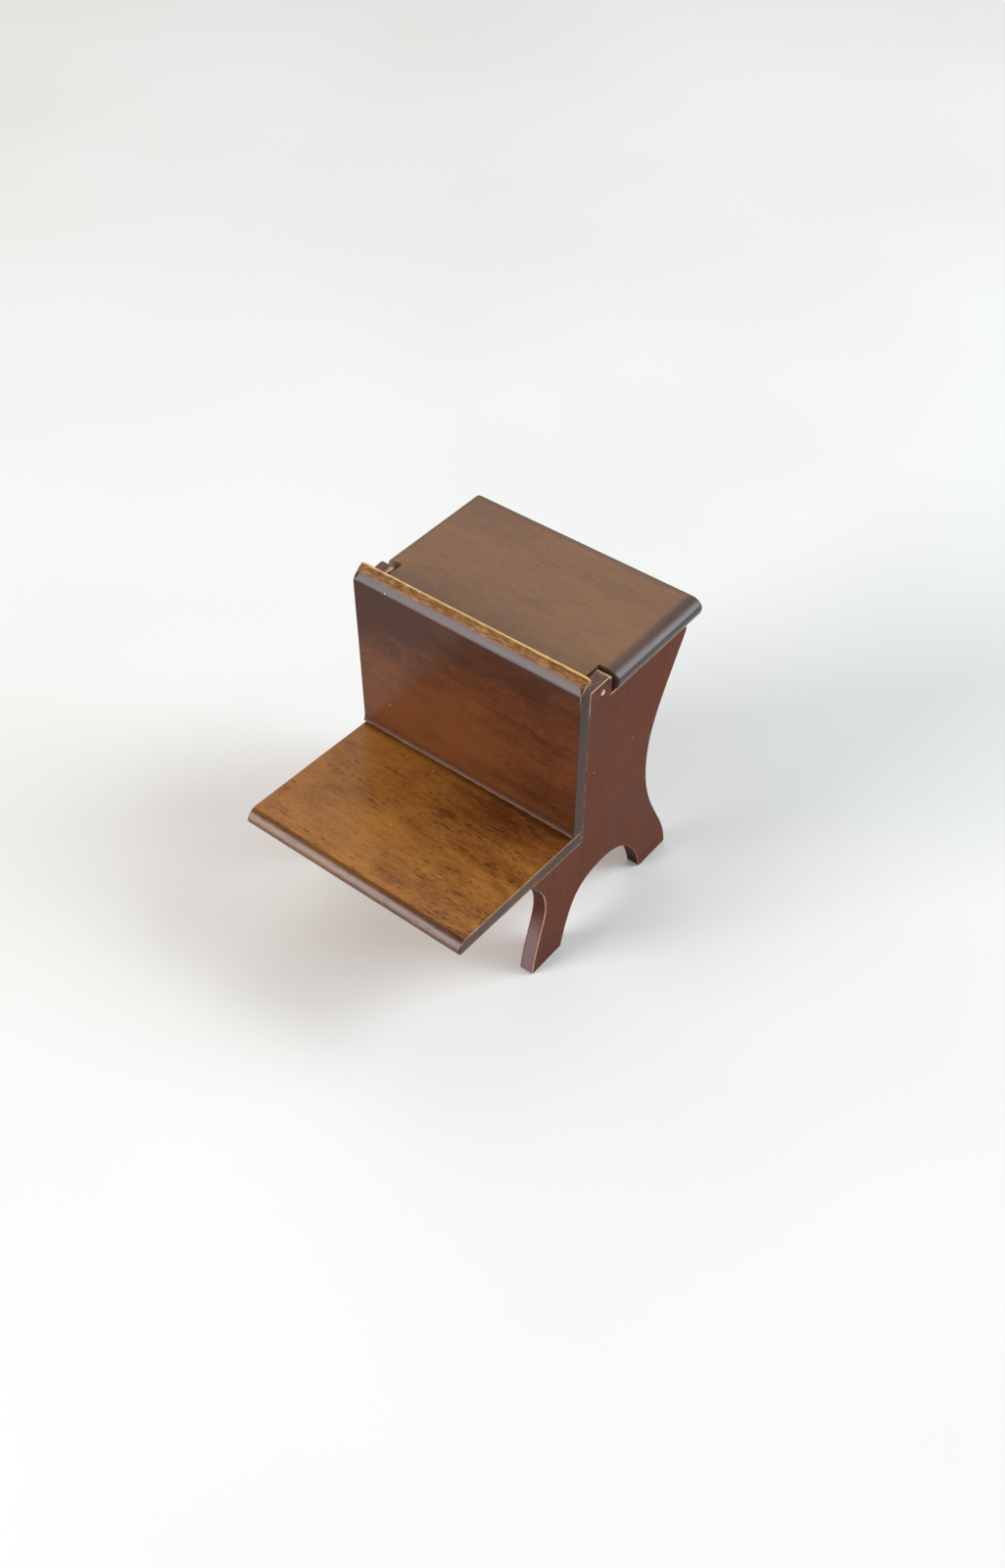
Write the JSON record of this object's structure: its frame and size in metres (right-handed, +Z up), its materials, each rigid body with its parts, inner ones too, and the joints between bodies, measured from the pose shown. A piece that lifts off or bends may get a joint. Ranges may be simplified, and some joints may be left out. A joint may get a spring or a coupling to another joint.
{
  "type": "miniature school desk",
  "caption": "Dolls' house school desk in stained wood: fixed front seat, upright back board, and a desk box between shaped side panels with a lid that lifts on pins.",
  "frame": {"origin": "on the floor, at the middle of the object's footprint box", "axes": "+X to the right as seen by someone sitting on the seat's front side and looking at the backrest, +Y from the seat to the desk's rear, +Z up"},
  "size_m": [0.0584, 0.0756, 0.0732],
  "materials": {
    "panel_wood": "stained walnut brown, satin to matt",
    "backrest_wood": "stained deep red-brown, satin",
    "seat_wood": "stained golden brown, satin, worn arrises",
    "lid_wood": "stained medium brown, satin",
    "inner_wood": "thinly stained, matt",
    "pin_metal": "bare wire nail"
  },
  "bodies": {
    "desk": {"left_side_panel": "panel_wood", "right_side_panel": "panel_wood", "backrest": "backrest_wood", "seat": "seat_wood", "compartment_floor": "inner_wood", "rear_board": "inner_wood", "left_hinge_pin": "pin_metal", "right_hinge_pin": "pin_metal"},
    "desk_lid": {"lid": "lid_wood"}
  },
  "joints": [
    {"name": "lid_hinge", "type": "hinge", "parent": "desk", "child": "desk_lid", "pos_m": [0, 0.00588, 0.0662], "axis": [1, 0, 0], "range_deg": [0, 100]}
  ]
}
